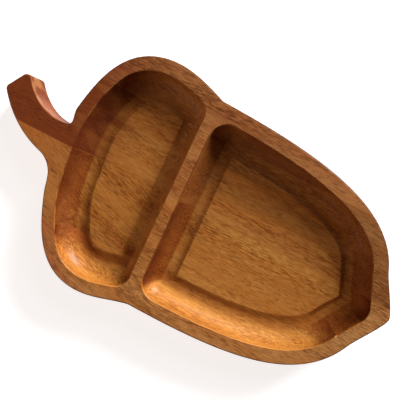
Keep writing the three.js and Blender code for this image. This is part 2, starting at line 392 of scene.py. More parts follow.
    def stem(self) -> Points:
        """Sample the stem from the upper knee of the crown round its cut end to the lower knee.

        Returns:
            Points along the stem, without the lower knee itself.
        """
        upper_knee = self.cap.at(self.crown_knee, Flank.UPPER)
        lower_knee = self.cap.at(self.crown_knee, Flank.LOWER)
        inner_root = self.crown.at(self.stem_inner_root)
        outer_root = self.crown.at(self.stem_outer_root)
        crown_foot = self.crown.at(self.stem_crown)
        end = self.crown.at(self.stem_end)
        half_face = self.crown.step(self.stem_end_face, self.stem_end_width / 2.0)
        inner_turn = math.pi + self.stem_end_face - self.stem_end.heading
        inner_round = self.corner(end.origin + half_face, end.turn, inner_turn)
        outer_round = self.corner(end.origin - half_face, end.turn + inner_turn, math.pi - inner_turn)
        inner_end = Placement(inner_round[0], end.turn)
        outer_end = Placement(outer_round[-1], end.turn + math.pi)
        fillet = self.stem_fillet_handle
        return joined(
            self.run(upper_knee, self.stem_knee_handle, self.stem_notch_handle, inner_root),
            self.run(inner_root, self.stem_inner_handle, self.stem_inner_handle, inner_end),
            inner_round,
            [inner_round[-1], outer_round[0]],
            outer_round,
            self.run(outer_end, self.stem_outer_handle, self.stem_outer_handle, outer_root),
            self.run(outer_root, fillet, fillet, crown_foot),
            self.run(crown_foot, fillet, -fillet, lower_knee),
        )

    def outline(self) -> Points:
        """Chain the whole outline.

        Returns:
            Corner points, anticlockwise from the lower notch.
        """
        upper = self.half(Flank.UPPER)
        lower = self.half(Flank.LOWER)
        return joined(
            lower.nut_flank,
            lower.nut_tip,
            upper.nut_tip[::-1],
            upper.nut_flank[::-1],
            upper.cap_flare,
            upper.cap_shoulder,
            [*self.stem(), lower.cap_shoulder[-1]],
            lower.cap_shoulder[::-1],
            lower.cap_flare[::-1],
        )

    def cap_run(self) -> Points:
        """Chain the outline of the cap alone.

        Returns:
            Points from the upper notch over the crown to the lower notch.
        """
        upper = self.half(Flank.UPPER)
        lower = self.half(Flank.LOWER)
        going = (upper.cap_flare, upper.cap_shoulder, upper.crown)
        coming = (lower.crown, lower.cap_shoulder, lower.cap_flare)
        return joined(*going, *(run[::-1] for run in coming))


@dataclass(frozen=True)
class RoutedDish:
    """The dish in one piece before it is parted along its glue lines, in millimetres."""

    plan: AcornPlan
    thickness: float
    outer_edge_radius: float = 1.2
    pocket_edge_radius: float = 0.6
    floor_edge_radius: float = 2.5
    cap_rim: float = 9.5
    cap_pocket_shift_x: float = -0.8
    cap_pocket_shift_y: float = -0.5
    nut_rim: float = 10.2
    nut_pocket_shift_y: float = -0.4
    tip_corner_past_axis: float = 3.5
    divider_x: float = -2.95
    divider_width: float = 7.6
    small_divider_cove: float = 0.75
    large_divider_cove: float = 1.0
    floor_depth: float = 13.0
    gutter_depth: float = 1.4
    cove_radius: float = 13.2
    sharp_turn: float = math.radians(25.0)
    beside_divider: float = math.cos(math.radians(1.0))
    fan_turn: float = math.radians(5.0)
    cove_steps: int = 22
    edge_steps: int = 5
    weld: float = 0.002

    @property
    def flank_angle(self) -> float:
        """Slope where the ball of the cutter meets the floor."""
        return math.acos(1.0 - self.gutter_depth / self.cove_radius)

    @property
    def flank_run(self) -> float:
        """Distance in plan from the floor's edge to the cutter's centre."""
        return self.cove_radius * math.sin(self.flank_angle)

    @property
    def cutter_reach(self) -> float:
        """Distance in plan from the cutter's centre to the rim."""
        return self.cove_radius + self.pocket_edge_radius

    def divider_cove(self, pocket: Pocket) -> float:
        """Return the share of the cove's width that one pocket has beside the divider."""
        return self.small_divider_cove if pocket is Pocket.CAP else self.large_divider_cove

    def floor_loop(self, pocket: Pocket) -> Points:
        """Return the floor of one pocket: the outline moved in and closed along the divider.

        Args:
            pocket: Which pocket.

        Returns:
            Corner points, anticlockwise.
        """
        plan = self.plan
        beside = self.flank_run + self.cutter_reach
        from_middle = self.divider_width / 2.0 + beside * self.divider_cove(pocket)
        if pocket is Pocket.CAP:
            shift = Vector((self.cap_pocket_shift_x, self.cap_pocket_shift_y))
            run = [point + shift for point in moved_left(plan.cap_run(), self.cap_rim + beside)]
            on_line = plan.divider.point(self.divider_x - from_middle, 0.0)
            return clipped(run, on_line, plan.divider.step(math.pi), plan.spacing)
        lower = moved_left(plan.half(Flank.LOWER).nut_flank, self.nut_rim + beside)
        upper = moved_left(plan.half(Flank.UPPER).nut_flank[::-1], self.nut_rim + beside)
        across = plan.nut.step(QUARTER)
        down_tip = plan.nut.step(plan.tip_shoulder.heading)
        to_axis = upper[0].dot(across) / down_tip.dot(across)
        tip_corner = upper[0] + down_tip * (self.tip_corner_past_axis - to_axis)
        shift = Vector((0.0, self.nut_pocket_shift_y))
        run = [point + shift for point in [*lower, tip_corner, *upper]]
        on_line = plan.divider.point(self.divider_x + from_middle, 0.0)
        return clipped(run, on_line, plan.divider.step(0.0), plan.spacing)

    def cove_width(self, normal: Vector, divider_cove: float) -> float:
        """Return the share of a cove's width that is left beside an edge with this normal."""
        facing = abs(normal.dot(self.plan.divider.step(0.0)))
        return divider_cove if facing > self.beside_divider else 1.0

    def columns(self, loop: Points, reach: float, divider_cove: float) -> list[Column]:
        """Stand columns round a loop, with a fan of them at each sharp corner.

        Args:
            loop: Corner points, anticlockwise.
            reach: Distance from the loop out to the columns' feet.
            divider_cove: Share of the cove's width that is left beside the divider.

        Returns:
            The columns in order.
        """
        columns = []
        for i, point in enumerate(loop):
            arriving = (point - loop[i - 1]).normalized()
            leaving = (loop[(i + 1) % len(loop)] - point).normalized()
            before = Vector((arriving.y, -arriving.x))
            after = Vector((leaving.y, -leaving.x))
            skew = before.dot(after)
            turn = -before.angle_signed(after, 0.0)
            if turn < self.sharp_turn:
                mitre = (before + after) / (1.0 + skew)
                columns.append(Column(point + mitre * reach, mitre, mitre))
                continue
            first = self.cove_width(before, divider_cove)
            last = self.cove_width(after, divider_cove)
            mitre = (before * (first - last * skew) + after * (last - first * skew)) / (1.0 - skew * skew)
            foot = point + mitre * reach
            fan = math.ceil(turn / self.fan_turn)
            for k in range(fan + 1):
                outward = Matrix.Rotation(turn * k / fan, 2) @ before
                columns.append(Column(foot, outward * (first + (last - first) * k / fan), mitre))
        return columns

    def pocket_section(self) -> Section:
        """Draw the section of a pocket.

        Returns:
            Offsets and heights from the rim down the cove to the edge of the floor.
        """
        edge = self.pocket_edge_radius
        ball = self.cove_radius
        crest = self.floor_edge_radius
        flank = self.flank_angle
        ease = crest * math.tan(flank / 2.0)
        floor_z = self.thickness - self.floor_depth
        rim_centre = (self.cutter_reach, self.thickness - edge)
        cove_centre = (0.0, floor_z - self.gutter_depth + ball)
        crest_centre = (-self.flank_run - ease, floor_z - crest)
        return [
            *arc(rim_centre, edge, QUARTER, math.pi, self.edge_steps),
            *arc(cove_centre, ball, 0.0, -QUARTER - (flank - ease / ball), self.cove_steps),
            *arc(crest_centre, crest, QUARTER - flank, QUARTER, self.edge_steps),
        ]

    def outer_section(self) -> Section:
        """Draw the section of the outer wall.

        Returns:
            Offsets and heights from the top face down to the underside.
        """
        edge = self.outer_edge_radius
        upper = arc((-edge, self.thickness - edge), edge, QUARTER, 0.0, self.edge_steps)
        lower = arc((-edge, edge), edge, 0.0, -QUARTER, self.edge_steps)
        return [*upper, *lower]

    def sweep(self, body: Body, columns: list[Column], section: Section) -> None:
        """Carry a section round a ring of columns as a closed band of faces.

        Args:
            body: Mesh that takes the band.
            columns: Columns in order round the ring.
            section: Offsets and heights of the section.
        """
        wrapped = [*columns, columns[0]]
        grid = bmesh.ops.create_grid(body, x_segments=len(columns), y_segments=len(section) - 1, size=1.0)
        for i, vertex in enumerate(grid["verts"]):
            row, place = divmod(i, len(wrapped))
            offset, height = section[row]
            vertex.co = Vector((*wrapped[place].at(offset), height)) * MM

    def fill(self, body: Body, height: float) -> None:
        """Close the open loops at one height with a flat face.

        Args:
            body: Mesh with the open loops.
            height: Height of the loops in millimetres.
        """
        near = self.weld * MM
        rim = [
            edge
            for edge in body.edges
            if edge.is_boundary and all(abs(vertex.co.z - height * MM) < near for vertex in edge.verts)
        ]
        up = (0.0, 0.0, 1.0)
        bmesh.ops.triangle_fill(body, use_beauty=True, use_dissolve=False, edges=rim, normal=up)

    def build(self) -> Body:
        """Model the whole dish.

        Returns:
            A closed mesh in metres, which the caller frees.
        """
        body = bmesh.new()
        self.sweep(body, self.columns(self.plan.outline(), 0.0, 1.0), self.outer_section())
        for pocket in Pocket:
            columns = self.columns(self.floor_loop(pocket), self.flank_run, self.divider_cove(pocket))
            self.sweep(body, columns, self.pocket_section())
        bmesh.ops.remove_doubles(body, verts=body.verts, dist=self.weld * MM)
        for height in (0.0, self.thickness - self.floor_depth, self.thickness):
            self.fill(body, height)
        bmesh.ops.recalc_face_normals(body, faces=body.faces)
        for face in body.faces:
            face.smooth = True
        return body


@dataclass(frozen=True)
class Span:
    """A range of a value, and what its two ends are eased into."""

    low: float
    high: float
    at_low: float = 0.0
    at_high: float = 1.0


def falling(low: float, high: float) -> Span:
    """Return a range that is eased from one down to nothing."""
    return Span(low, high, 1.0, 0.0)


def by_mask(at_none: float, at_full: float) -> Span:
    """Return the range of a mask, eased between two values."""
    return Span(0.0, 1.0, at_none, at_full)


@dataclass(frozen=True)
class Noise:
    """A noise: its waves per unit of length along X, Y and Z, and its finer detail."""

    waves: Triple
    detail: float = 2.0
    roughness: float = 0.5


class Bench:
    """Places the nodes of one node tree and joins them."""

    def __init__(self, tree: Tree) -> None:
        """Start with an empty tree."""
        self.tree = tree
        tree.nodes.clear()

    def add(self, kind: str, inputs: dict[str | int, object], **settings: object) -> bpy.types.Node:
        """Place a node, set it up and feed it.

        Args:
            kind: Node type without its prefix.
            inputs: Socket name or number to a value or to the output that feeds it.
            settings: Properties of the node.

        Returns:
            The new node.
        """
        prefix = "NodeGroup" if kind in ("Input", "Output") else "ShaderNode"
        node = self.tree.nodes.new(prefix + kind)
        for name, value in settings.items():
            setattr(node, name, value)
        for socket, value in inputs.items():
            if isinstance(value, Feed):
                self.tree.links.new(value, node.inputs[socket])
            else:
                node.inputs[socket].default_value = value
        return node

    def math(self, operation: str, *values: object) -> Feed:
        """Return the result of an operation on numbers and outputs."""
        return self.add("Math", dict(enumerate(values)), operation=operation).outputs[0]

    def times(self, *values: object) -> Feed:
        """Return the product of numbers and outputs."""
        return reduce(lambda product, value: self.math("MULTIPLY", product, value), values)

    def most(self, first: object, second: object) -> Feed:
        """Return the larger of two numbers or outputs."""
        return self.math("MAXIMUM", first, second)

    def less(self, first: object, second: object) -> Feed:
        """Return the first number or output less the second."""
        return self.math("SUBTRACT", first, second)

    def raised(self, base: object, value: object, gain: object) -> Feed:
        """Return a base with a value times a gain on top."""
        return self.math("MULTIPLY_ADD", value, gain, base)

    def vector(self, operation: str, *values: object) -> Feed:
        """Return the vector result of an operation on vectors."""
        return self.add("VectorMath", dict(enumerate(values)), operation=operation).outputs[0]

    def split(self, vector: Feed) -> Feeds:
        """Return the parts X, Y and Z of a vector."""
        return self.add("SeparateXYZ", {0: vector}).outputs

    def ramp(self, value: Feed, span: Span) -> Feed:
        """Return a value eased over a span."""
        inputs = {"Value": value, 1: span.low, 2: span.high, 3: span.at_low, 4: span.at_high}
        return self.add("MapRange", inputs, interpolation_type="SMOOTHSTEP").outputs[0]

    def noise(self, place: Feed, noise: Noise) -> Feed:
        """Return a noise at a place.

        Args:
            place: Place that the noise is taken at.
            noise: Its waves and detail.

        Returns:
            The noise, from 0 to 1.
        """
        spread = self.vector("MULTIPLY", place, noise.waves)
        inputs = {"Vector": spread, "Scale": 1.0, "Detail": noise.detail, "Roughness": noise.roughness}
        return self.add("TexNoise", inputs).outputs["Fac"]

    def mix(self, factor: object, first: object, second: object, blend: str = "MIX") -> Feed:
        """Return two colours mixed by a factor."""
        inputs = {0: factor, 6: first, 7: second}
        return self.add("Mix", inputs, data_type="RGBA", blend_type=blend).outputs[2]

    def tinted(self, mask: object, colour: object, tint: object) -> Feed:
        """Return a colour that is multiplied by a tint as far as a mask says."""
        return self.mix(mask, colour, tint, "MULTIPLY")

    def group(self, tree: Tree, inputs: dict[str, object]) -> Feeds:
        """Place a node group, feed it and return what it gives."""
        return self.add("Group", inputs, node_tree=tree).outputs

    def on_piece(self) -> tuple[Feed, Feed]:
        """Find the shaded point of a piece.

        Returns:
            Its place in millimetres, and the way that the surface faces there.
        """
        source = self.add("TexCoord", {}).outputs
        place = self.add("VectorMath", {0: source["Object"], "Scale": 1.0 / MM}, operation="SCALE")
        return place.outputs[0], source["Normal"]

    def dress(self, inputs: dict[str, object]) -> None:
        """Place the surface shader, feed it and join it to the material."""
        shader = self.add("BsdfPrincipled", inputs)
        self.add("OutputMaterial", {"Surface": shader.outputs[0]})


class Socket(Enum):
    """Kinds of socket that the node groups have."""

    NUMBER = "NodeSocketFloat"
    VECTOR = "NodeSocketVector"


def new_group(name: str, takes: dict[str, Socket], gives: tuple[str, ...]) -> tuple[Bench, Feeds]:
    """Start a node group with number outputs.

    Args:
        name: Name of the group.
        takes: Input names and kinds.
        gives: Output names.

    Returns:
        A bench on the group's tree, and what the group is given.
    """
    tree = bpy.data.node_groups.new(name, "ShaderNodeTree")
    for socket, kind in takes.items():
        tree.interface.new_socket(socket, in_out="INPUT", socket_type=kind.value)
    for socket in gives:
        tree.interface.new_socket(socket, in_out="OUTPUT", socket_type=Socket.NUMBER.value)
    bench = Bench(tree)
    return bench, bench.add("Input", {}).outputs


def new_material(name: str) -> tuple[bpy.types.Material, Bench]:
    """Start a material.

    Args:
        name: Name of the material.

    Returns:
        The material, and a bench on its empty tree.
    """
    material = bpy.data.materials.new(name)
    material.use_nodes = True
    return material, Bench(material.node_tree)


def new_object(name: str, data: bpy.types.ID) -> bpy.types.Object:
    """Make an object and put it into the scene.

    Args:
        name: Name of the object.
        data: Its mesh, light or camera.

    Returns:
        The object, at the origin.
    """
    made = bpy.data.objects.new(name, data)
    bpy.context.scene.collection.objects.link(made)
    return made


# X over which the stem gives way to the cap, in millimetres.
STEM_TO_CAP = Span(-100.0, -90.0)


@dataclass(frozen=True)
class GrowthRings:
    """Late wood of the growth rings, as shells round a pith that lies along the grain."""

    drift: Noise = Noise((0.011, 0.035, 0.035))
    across_grain: Triple = (0.0, 1.0, 1.0)
    sharpness: float = 4.0
    year_strength: Span = Span(0.2, 1.0, 0.1, 1.0)

    def tree(self) -> Tree:
        """Build the node group.

        Returns:
            A group that gives the late wood at a place.
        """
        takes = {
            "Place": Socket.VECTOR,
            "Pith": Socket.VECTOR,
            "Ring Width": Socket.NUMBER,
            "Wander": Socket.NUMBER,
        }
        bench, given = new_group("growth_rings", takes, ("Late Wood",))
        drift = bench.raised(-1.0, bench.noise(given["Place"], self.drift), 2.0)
        from_pith = bench.vector("SUBTRACT", given["Place"], given["Pith"])
        across = bench.vector("MULTIPLY", from_pith, self.across_grain)
        radius = bench.add("VectorMath", {0: across}, operation="LENGTH").outputs["Value"]
        turns = bench.math("DIVIDE", bench.raised(radius, drift, given["Wander"]), given["Ring Width"])
        late = bench.math("POWER", bench.math("FRACT", turns), self.sharpness)
        year = bench.add("TexWhiteNoise", {"W": bench.math("FLOOR", turns)}, noise_dimensions="1D")
        strength = bench.ramp(year.outputs["Value"], self.year_strength)
        bench.add("Output", {"Late Wood": bench.times(late, strength)})
        return bench.tree


@dataclass(frozen=True)
class GrainStreaks:
    """Lights and darks of the grain: short dashes, bands where these are strong, and broad streaks."""

    fine: Noise = Noise((0.15, 1.15, 1.15), roughness=0.65)
    band: Noise = Noise((0.006, 0.06, 0.06))
    broad: Noise = Noise((0.009, 0.1, 0.1))
    fine_span: Span = Span(0.34, 0.66)
    band_span: Span = Span(0.4, 0.62)
    broad_span: Span = Span(0.3, 0.7)

    def tree(self) -> Tree:
        """Build the node group.

        Returns:
            A group that gives the three kinds of streak at a place.
        """
        bench, given = new_group("grain_streaks", {"Place": Socket.VECTOR}, ("Fine", "Band", "Broad"))
        place = given["Place"]
        gives = {
            "Fine": bench.ramp(bench.noise(place, self.fine), self.fine_span),
            "Band": bench.ramp(bench.noise(place, self.band), self.band_span),
            "Broad": bench.ramp(bench.noise(place, self.broad), self.broad_span),
        }
        bench.add("Output", gives)
        return bench.tree


@dataclass(frozen=True)
class RayFlecks:
    """Dark flecks of the rays, which crowd in some places and are rare in others."""

    dashes: Noise = Noise((0.2, 1.3, 1.3))
    crowd: Noise = Noise((0.006, 0.12, 0.12), detail=1.0)
    limit: Span = Span(0.35, 0.65, 0.63, 0.51)
    edge: Span = Span(0.0, 0.1)

    def tree(self) -> Tree:
        """Build the node group.

        Returns:
            A group that gives the flecks at a place.
        """
        bench, given = new_group("ray_flecks", {"Place": Socket.VECTOR}, ("Fleck",))
        limit = bench.ramp(bench.noise(given["Place"], self.crowd), self.limit)
        over = bench.less(bench.noise(given["Place"], self.dashes), limit)
        bench.add("Output", {"Fleck": bench.ramp(over, self.edge)})
        return bench.tree


@dataclass(frozen=True)
class EndGrainAndShade:
    """Masks of the walls and gutters: cut grain, steepness, painted shade in the gutters, and where painted
    light and shade go on the walls.

    Places are in millimetres, a facing runs from -1 to 1, and a lean from 0 for level to 1 for upright.
    """

    cap_to_nut: Span = Span(5.0, 35.0)
    gutter_z: Span = falling(5.8, 6.9)
    gutter_facing: Span = Span(0.3, 0.6)
    gutter_shade_share: Span = by_mask(0.15, 0.28)
    foot_y: Span = Span(-47.0, -38.0, 0.75, 0.0)
    foot_facing: Span = falling(0.0, 0.25)
    clouds: Noise = Noise((0.08, 0.08, 0.08))
    clouds_middle: float = 0.5
    clouds_gain: float = 0.3
    least_lean_squared: float = 0.0004
    crown_wall_x: Span = Span(-45.0, -30.0, 1.0, 0.2)
    divider_wall_x: Span = Span(-6.0, -2.0)
    shaded_side_lift: Span = Span(-0.3, 0.1, 0.3, 1.0)
    nut_gain: float = 0.06
    across: Span = Span(0.68, 0.96)
    stem_share: Span = by_mask(0.2, 1.0)
    stem_end_x: Span = Span(-122.0, -112.0, 0.7, 0.0)
    stem_end_facing: Span = Span(0.0, 0.3)
    cut_lean: Span = Span(0.06, 0.3)
    deep_lean: Span = Span(0.4, 0.98)
    steep_lean: Span = Span(0.1, 0.6)
    sheer_lean: Span = Span(0.6, 1.0)
    long_share: Span = by_mask(1.0, 0.25)
    wall_light_shade_y: Span = falling(-20.0, 20.0)
    wall_light_shade_share: Span = by_mask(0.25, 1.0)
    scuffs: Span = Span(0.4, 0.6)
    pores: Noise = Noise((0.5, 1.6, 1.6), roughness=0.6)
    pore_span: Span = Span(0.45, 0.7)

    def tree(self) -> Tree:
        """Build the node group.

        Returns:
            A group that gives the masks and the pores at a place with a facing.
        """
        takes = {"Place": Socket.VECTOR, "Facing": Socket.VECTOR}
        gives = ("Mask", "Deep", "Steep", "Sheer", "Scuffed", "Pores")
        bench, given = new_group("end_grain_and_shade", takes, gives)
        facing = bench.split(given["Facing"])
        spot = bench.split(given["Place"])
        on_dish = bench.ramp(spot["X"], STEM_TO_CAP)
        past_cap = bench.ramp(spot["X"], self.cap_to_nut)
        low = bench.ramp(spot["Z"], self.gutter_z)
        # Painted shade in the gutters round the floors, strongest on the cap floor's lower side, where its
        # edge faces away from the key light.
        low_and_level = bench.times(low, bench.ramp(facing["Z"], self.gutter_facing))
        foot = bench.times(
            bench.ramp(spot["Y"], self.foot_y),
            bench.ramp(facing["Y"], self.foot_facing),
            bench.ramp(past_cap, falling(0.0, 1.0)),
        )
        gutter = bench.times(low_and_level, bench.most(foot, bench.ramp(past_cap, self.gutter_shade_share)))
        cloudy = bench.noise(given["Place"], self.clouds)
        level = bench.times(facing["Z"], facing["Z"])
        lean = bench.math("SQRT", bench.most(bench.less(1.0, level), self.least_lean_squared))
        heading = bench.math("DIVIDE", bench.math("ABSOLUTE", facing["X"]), lean)
        clouded = bench.raised(heading, bench.less(cloudy, self.clouds_middle), self.clouds_gain)
        across = bench.ramp(bench.raised(clouded, past_cap, self.nut_gain), self.across)
        crown_wall = bench.ramp(spot["X"], self.crown_wall_x)
        apart = bench.most(crown_wall, bench.ramp(spot["X"], self.divider_wall_x))
        # Near the crown and the divider, cut grain darkens walls facing -X only at 0.3 of its strength,
        # which lightens these shaded walls as painted light.
        lit_side_weight = bench.times(apart, bench.ramp(facing["X"], self.shaded_side_lift))
        weight = bench.times(bench.most(past_cap, lit_side_weight), bench.ramp(on_dish, self.stem_share))
        at_stem_end = bench.ramp(spot["X"], self.stem_end_x)
        stem_end = bench.times(at_stem_end, bench.ramp(facing["X"], self.stem_end_facing))
        cut = bench.most(bench.times(weight, across), stem_end)
        steep = bench.ramp(lean, self.steep_lean)
        long_wall = bench.times(steep, bench.ramp(cut, self.long_share))
        # Painted light and shade on the walls reach fully, except on the cap pocket's upper walls, which
        # get a quarter of it.
        wall_light_shade_reach = bench.most(past_cap, bench.ramp(spot["Y"], self.wall_light_shade_y))
        patchy = bench.times(bench.less(1.0, on_dish), bench.ramp(cloudy, self.scuffs))
        masks = {
            # Mask: cut grain, and painted shade in the gutters.
            "Mask": bench.most(gutter, bench.times(cut, bench.ramp(lean, self.cut_lean))),
            "Deep": bench.times(cut, bench.ramp(lean, self.deep_lean)),
            # Steep: steep long-grain walls, which the upper staves darken as painted shade and the lower
            # edge stave lightens as painted light.
            "Steep": bench.times(long_wall, bench.ramp(wall_light_shade_reach, self.wall_light_shade_share)),
            # Sheer: near-upright walls, where a stave may paint shade.
            "Sheer": bench.ramp(lean, self.sheer_lean),
            "Scuffed": bench.times(steep, patchy),
            "Pores": bench.ramp(bench.noise(given["Place"], self.pores), self.pore_span),
        }
        bench.add("Output", masks)
        return bench.tree


@dataclass(frozen=True)
class EdgeWearAndPaintedLight:
    """Masks of the top face, of the pocket edges with rubbed wear and a painted highlight, and of the outer
    edges with painted shade.
    """

    below_top: Span = falling(0.4, 1.6)
    level_facing: Span = Span(0.8, 0.98)
    rounded_facing: Span = falling(0.88, 0.98)
    outwards: Span = Span(-2.0, 2.0)
    patches: Noise = Noise((0.12, 0.12, 0.12), detail=3.0, roughness=0.6)
    wear_and_highlight: Span = Span(0.3, 0.65)

    def tree(self) -> Tree:
        """Build the node group.

        Returns:
            A group that gives the masks at a place with a facing, under a top face.
        """
        takes = {"Place": Socket.VECTOR, "Facing": Socket.VECTOR, "Top": Socket.NUMBER}
        bench, given = new_group("edge_wear_and_painted_light", takes, ("TopFace", "RubAndHighlight", "Outer"))
        facing = bench.split(given["Facing"])
        spot = bench.split(given["Place"])
        near_top = bench.ramp(bench.less(given["Top"], spot["Z"]), self.below_top)
        rounded = bench.times(near_top, bench.ramp(facing["Z"], self.rounded_facing))
        outwards = bench.ramp(bench.times(facing["Y"], spot["Y"]), self.outwards)
        wear_and_highlight = bench.times(rounded, bench.ramp(bench.noise(given["Place"], self.patches), self.wear_and_highlight))
        masks = {
            # The level top face, near the top height.
            "TopFace": bench.times(near_top, bench.ramp(facing["Z"], self.level_facing)),
            # Rub: paler rubbed wear and a painted highlight on the rounded pocket edges.
            "RubAndHighlight": bench.times(wear_and_highlight, bench.less(1.0, outwards)),
            # Outer: painted shade on the rounded outer edges of the top face.
            "Outer": bench.times(rounded, outwards, bench.ramp(spot["X"], STEM_TO_CAP)),
        }
        bench.add("Output", masks)
        return bench.tree


class BeechPatterns:
    """The node groups that all pieces share, each on places in millimetres."""

    def __init__(self) -> None:
        """Build the groups once."""
        self.rings = GrowthRings().tree()
        self.streaks = GrainStreaks().tree()
        self.flecks = RayFlecks().tree()
        self.ends = EndGrainAndShade().tree()
        self.edges = EdgeWearAndPaintedLight().tree()


@dataclass(frozen=True)
class ShadowAndToneBand:
    """A band along the grain below the rim with its own tint: the darker one is painted shadow, the paler
    one a lighter wood tone; lengths are in millimetres.
    """

    low: float
    high: float
    start: float
    stop: float
    tint: Color
    soft_low: float = 1.5
    soft_high: float = 4.0
    soft_end: float = 10.0
    wander: float = 2.0
    below_rim: Span = falling(12.0, 18.0)

    def over(self, bench: Bench, wood: Feed, spot: Feeds, wave: Feed) -> Feed:
        """Tint the wood inside the band.

        Args:
            bench: Bench of the stave's material.
            wood: Colour of the wood.
            spot: Coordinates of the shaded point.
            wave: Value that makes the band's edges wander.

        Returns:
            The tinted colour.
        """
        across = bench.raised(spot["Y"], wave, self.wander)
        inside = bench.times(
            bench.ramp(spot["Z"], self.below_rim),
            bench.ramp(across, Span(self.low - self.soft_low, self.low + self.soft_low)),
            bench.ramp(across, falling(self.high - self.soft_high, self.high + self.soft_high)),
            bench.ramp(spot["X"], Span(self.start - self.soft_end, self.start + self.soft_end)),
            bench.ramp(spot["X"], falling(self.stop - self.soft_end, self.stop + self.soft_end)),
        )
        return bench.tinted(inside, wood, self.tint)


@dataclass(frozen=True)
class BeechFeeds:
    """What the shared patterns give at the shaded point of one stave."""

    spot: Feeds
    rings: Feed
    streaks: Feeds
    fleck: Feed
    ends: Feeds
    edges: Feeds
    pores: Feed


@dataclass(frozen=True)
class BeechFinish:
    """Oiled beech of one stave; colours are linear, lengths are in millimetres."""

    name: str
    pale: Color
    deep: Color
    # Tint of cut grain; through the same mask it also paints shade into the gutters.
    end: Color
    stain: Color
    stained: Span
    # Tint of the top face from the cap to the tip: darker on the upper staves, paler and bluer on the lower
    # ones.
    rim: Color
    rim_tip: Color
    # Tint of the steep long-grain walls: painted shade on the upper staves, near one on the lower middle
    # stave, and above one as painted light on the lower edge stave.
    wall_light_and_shade: Color
    pith: Triple
    bend: float
    band: ShadowAndToneBand | None = None
    # Painted shade on the near-upright upper part of the walls; only the lower edge stave uses it.
    sheer_wall_shade: Color = WHITE
    end_deep: Color = (0.55, 0.46, 0.4, 1.0)
    scuffed: Color = srgb(138, 88, 48)
    # Painted shade on the rounded outer edges.
    painted_edge_shade: Color = (0.4, 0.33, 0.28, 1.0)
    cool: Color = (0.98, 1.05, 1.13, 1.0)
    warm: Color = (1.02, 0.98, 0.92, 1.0)
    vein: Color = (0.62, 0.55, 0.6, 1.0)
    fleck_tint: Color = (0.48, 0.4, 0.32, 1.0)
    bend_end: float = 50.0
    ring_width: float = 4.2
    wander: float = 3.0
    late_strength: float = 0.3
    dash_base: float = 0.4
    dash_gain: float = 0.35
    broad_gain: float = 0.25
    stain_rag: float = 30.0
    to_tip: Span = Span(20.0, 130.0)
    bare_pores: Span = Span(0.0, 0.7, 0.9, 0.4)
    fleck_depth: Span = by_mask(0.6, 0.7)
    pore_strength: float = 0.5
    # Strength of the rubbed wear and painted highlight on the pocket edges.
    rub_and_highlight_strength: float = 0.5
    sheen: float = 0.5
    fleck_rough: float = 0.12
    end_rough: float = 0.2
    specular: float = 0.1
    coat: Span = Span(0.0, 0.6, 0.16, 0.0)
    coat_z: Span = Span(7.2, 9.0)
    coat_rough: float = 0.31
    streak_relief: float = 0.25
    bump_strength: float = 0.35
    bump_depth: float = 0.12

    def feeds(self, bench: Bench, patterns: BeechPatterns, top: float) -> BeechFeeds:
        """Place the shared patterns with this stave's own values.

        Args:
            bench: Bench of the stave's material.
            patterns: The shared beech patterns.
            top: Height of the top face in millimetres.

        Returns:
            What the patterns give.
        """
        place, facing = bench.on_piece()
        spot = bench.split(place)
        before_end = bench.math("MINIMUM", bench.less(spot["X"], self.bend_end), 0.0)
        drift = bench.times(before_end, before_end, -self.bend)
        bent = bench.vector("ADD", place, bench.add("CombineXYZ", {"Y": drift}).outputs[0])
        shifted = {"Place": bench.vector("ADD", bent, self.pith)}
        shells = {"Place": bent, "Pith": self.pith, "Ring Width": self.ring_width, "Wander": self.wander}
        ends = bench.group(patterns.ends, {"Place": place, "Facing": facing})
        return BeechFeeds(
            spot=spot,
            rings=bench.group(patterns.rings, shells)["Late Wood"],
            streaks=bench.group(patterns.streaks, shifted),
            fleck=bench.group(patterns.flecks, shifted)["Fleck"],
            ends=ends,
            edges=bench.group(patterns.edges, {"Place": place, "Facing": facing, "Top": top}),
            pores=bench.times(ends["Mask"], ends["Pores"], self.pore_strength),
        )

    def colour(self, bench: Bench, beech: BeechFeeds) -> Feed:
        """Mix the colour of the wood.

        Args:
            bench: Bench of the stave's material.
            beech: What the shared patterns give.

        Returns:
            The colour.
        """
        ends = beech.ends
        edges = beech.edges
        along = beech.spot["X"]
        broad = beech.streaks["Broad"]
        contrast = bench.raised(self.dash_base, beech.streaks["Band"], self.dash_gain)
        dashes = bench.times(beech.streaks["Fine"], contrast)
        wood = bench.mix(bench.raised(dashes, broad, self.broad_gain), self.pale, self.deep)
        wood = bench.mix(bench.times(beech.rings, self.late_strength), wood, self.deep)
        wood = bench.tinted(1.0, wood, bench.mix(broad, self.cool, self.warm))
        stained = bench.ramp(bench.raised(along, broad, self.stain_rag), self.stained)
        wood = bench.mix(stained, wood, bench.tinted(dashes, self.stain, self.vein))
        if self.band:
            wood = self.band.over(bench, wood, beech.spot, broad)
        rim = bench.mix(bench.ramp(along, self.to_tip), self.rim, self.rim_tip)
        tints = (
            (edges["TopFace"], rim),
            # Painted shade on the upper staves' walls, painted light on the lower edge stave's walls.
            (ends["Steep"], self.wall_light_and_shade),
            # Painted shade on the near-upright part of the walls.
            (ends["Sheer"], self.sheer_wall_shade),
            # Darker cut grain, and painted shade in the gutters.
            (ends["Mask"], self.end),
            (ends["Deep"], self.end_deep),
        )
        for mask, tint in tints:
            wood = bench.tinted(mask, wood, tint)
        bare = bench.times(ends["Scuffed"], bench.ramp(ends["Pores"], self.bare_pores))
        wood = bench.mix(bare, wood, self.scuffed)
        dark = bench.tinted(1.0, wood, self.fleck_tint)
        flecked = bench.times(beech.fleck, bench.ramp(edges["TopFace"], self.fleck_depth))
        wood = bench.mix(flecked, wood, dark)
        wood = bench.mix(beech.pores, wood, dark)
        # Rubbed wear and a painted highlight lighten the pocket edges.
        wood = bench.mix(bench.times(edges["RubAndHighlight"], self.rub_and_highlight_strength), wood, self.pale)
